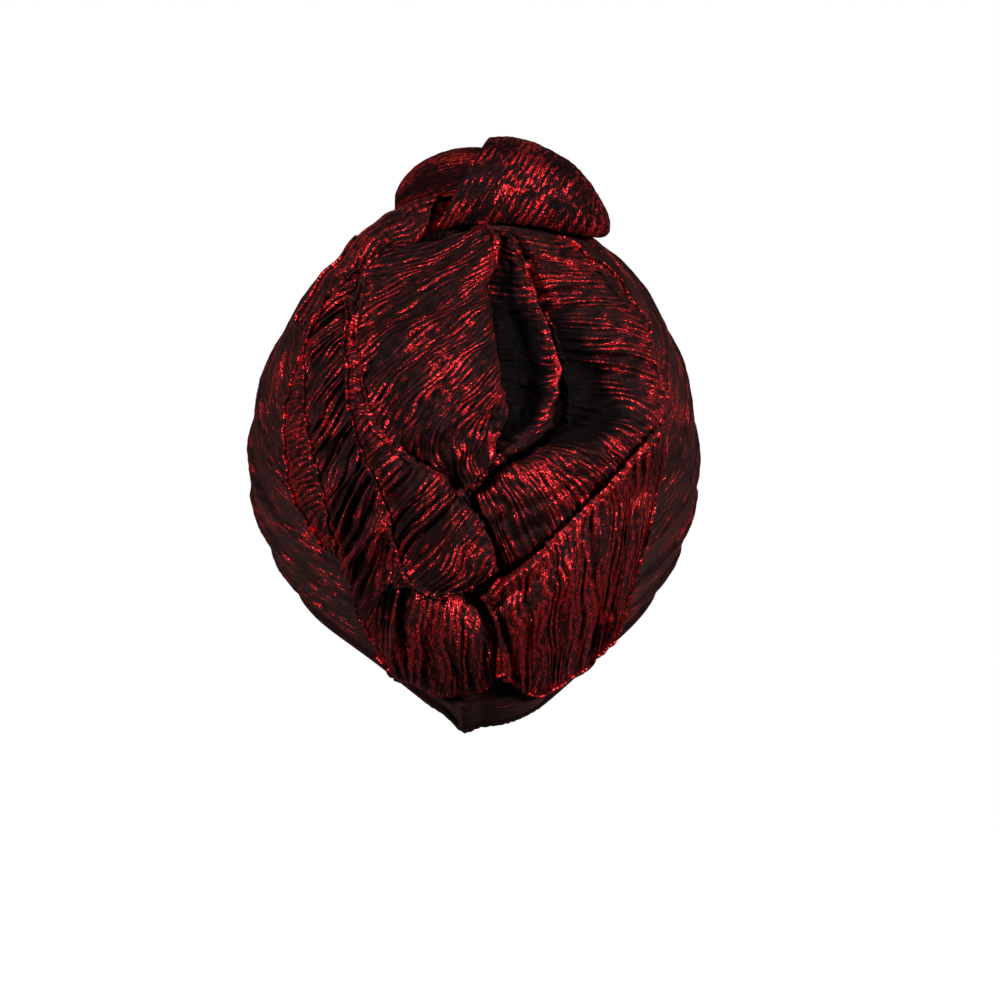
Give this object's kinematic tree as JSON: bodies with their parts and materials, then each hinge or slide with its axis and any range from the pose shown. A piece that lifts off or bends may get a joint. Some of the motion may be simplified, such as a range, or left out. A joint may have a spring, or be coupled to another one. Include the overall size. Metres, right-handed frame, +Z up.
{
  "type": "tied gele head tie",
  "caption": "Hollow head tie of ribbed metallic cloth: a rounded crown, a gathered draped tail over its back and a folded knot on top.",
  "frame": {"origin": "middle of the head hollow at the height of the head band, where a head holds the head tie", "axes": "+Z up towards the knot, +Y towards the wearer's face, -Y towards the draped back, +X to the right as seen from behind"},
  "size_m": [0.2266, 0.2524, 0.2888],
  "materials": {
    "crown_cloth": "crinkled metallic knit, dark maroon",
    "drape_cloth": "crinkled metallic knit, black and red",
    "knot_cloth": "crinkled metallic knit, black and red"
  },
  "bodies": {
    "root": {"crown_left": "crown_cloth", "crown_right": "crown_cloth", "hem_band": "crown_cloth", "strand_left": "crown_cloth", "pleat_left_outer": "drape_cloth", "pleat_left_inner": "drape_cloth", "swag_left_upper": "drape_cloth", "swag_left_lower": "drape_cloth", "cowl_lobe": "drape_cloth", "cowl_fold": "drape_cloth", "swag_right_upper": "drape_cloth", "swag_right_lower": "drape_cloth", "knot_band": "knot_cloth", "knot_roll": "knot_cloth"}
  },
  "joints": []
}
